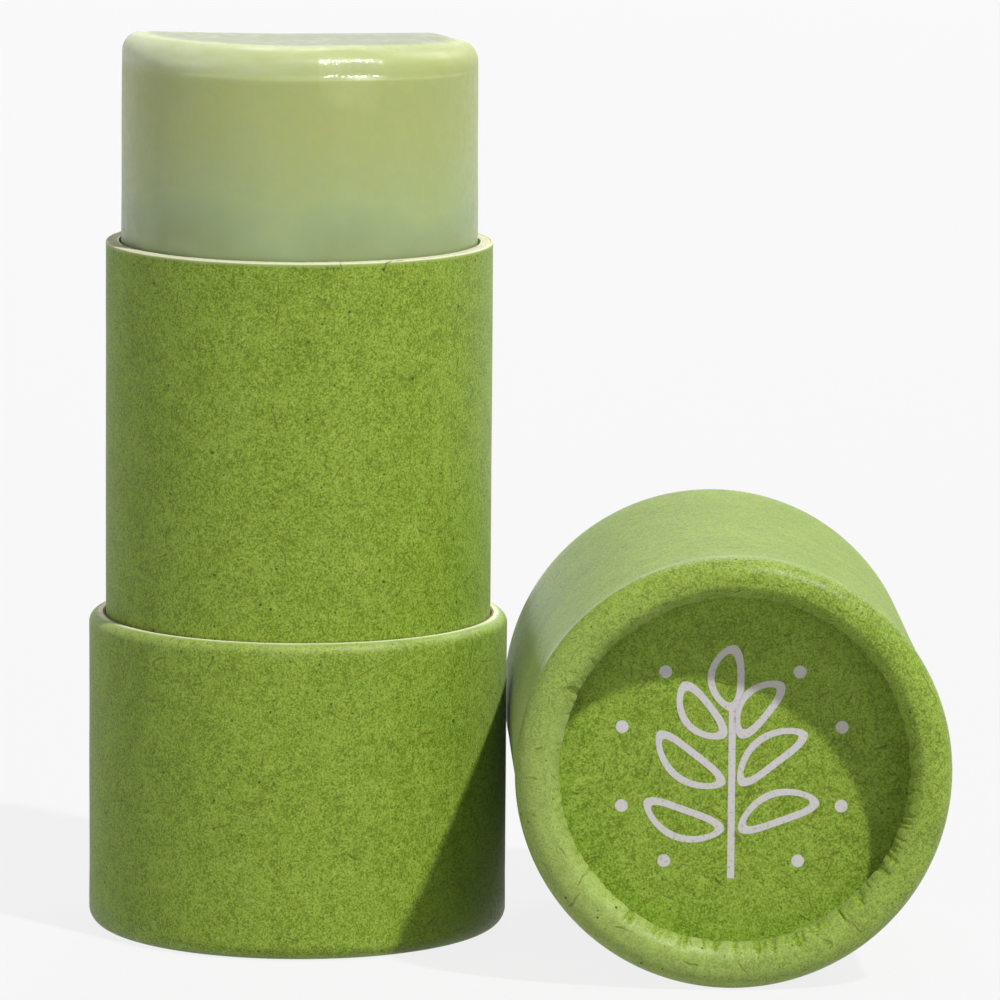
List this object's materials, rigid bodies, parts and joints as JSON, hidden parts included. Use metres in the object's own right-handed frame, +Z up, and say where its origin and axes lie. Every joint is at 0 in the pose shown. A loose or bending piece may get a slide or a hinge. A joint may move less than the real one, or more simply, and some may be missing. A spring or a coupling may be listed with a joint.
{
  "type": "lip balm stick",
  "caption": "Paper push-up tube of lip balm: a rolled base sleeve holds a narrower neck, a push disc raises the balm, and the pull-off cap lies beside it on its side.",
  "frame": {"origin": "middle of the box round tube and cap, on the surface that both rest on", "axes": "+Z up along the tube's axis; +X from the tube towards the cap; -Y towards the cap's closed, rolled end"},
  "size_m": [0.0562, 0.037, 0.06],
  "materials": {
    "kraft_green": "matte",
    "tube_board": "matte",
    "pale_board": "matte",
    "greaseproof": "satin",
    "balm": "satin"
  },
  "bodies": {
    "tube": {"base_tube": "tube_board", "base_wrap": "kraft_green", "neck_tube": "pale_board", "neck_wrap": "kraft_green", "neck_liner": "greaseproof"},
    "plunger": {"push_ring": "pale_board", "push_disc": "tube_board", "barrier_disc": "greaseproof", "balm": "balm"},
    "cap": {"cap_tube": "tube_board", "cap_wrap": "kraft_green", "cap_disc": "tube_board", "cap_facing": "kraft_green"}
  },
  "joints": [
    {"name": "push_up", "type": "slide", "parent": "tube", "child": "plunger", "axis": [0, 0, 1], "range_m": [-0.0144, 0.023]},
    {"name": "cap_lift", "type": "slide", "parent": "tube", "child": "cap", "axis": [0, 0, 1], "range_m": [0, 0.025]}
  ]
}
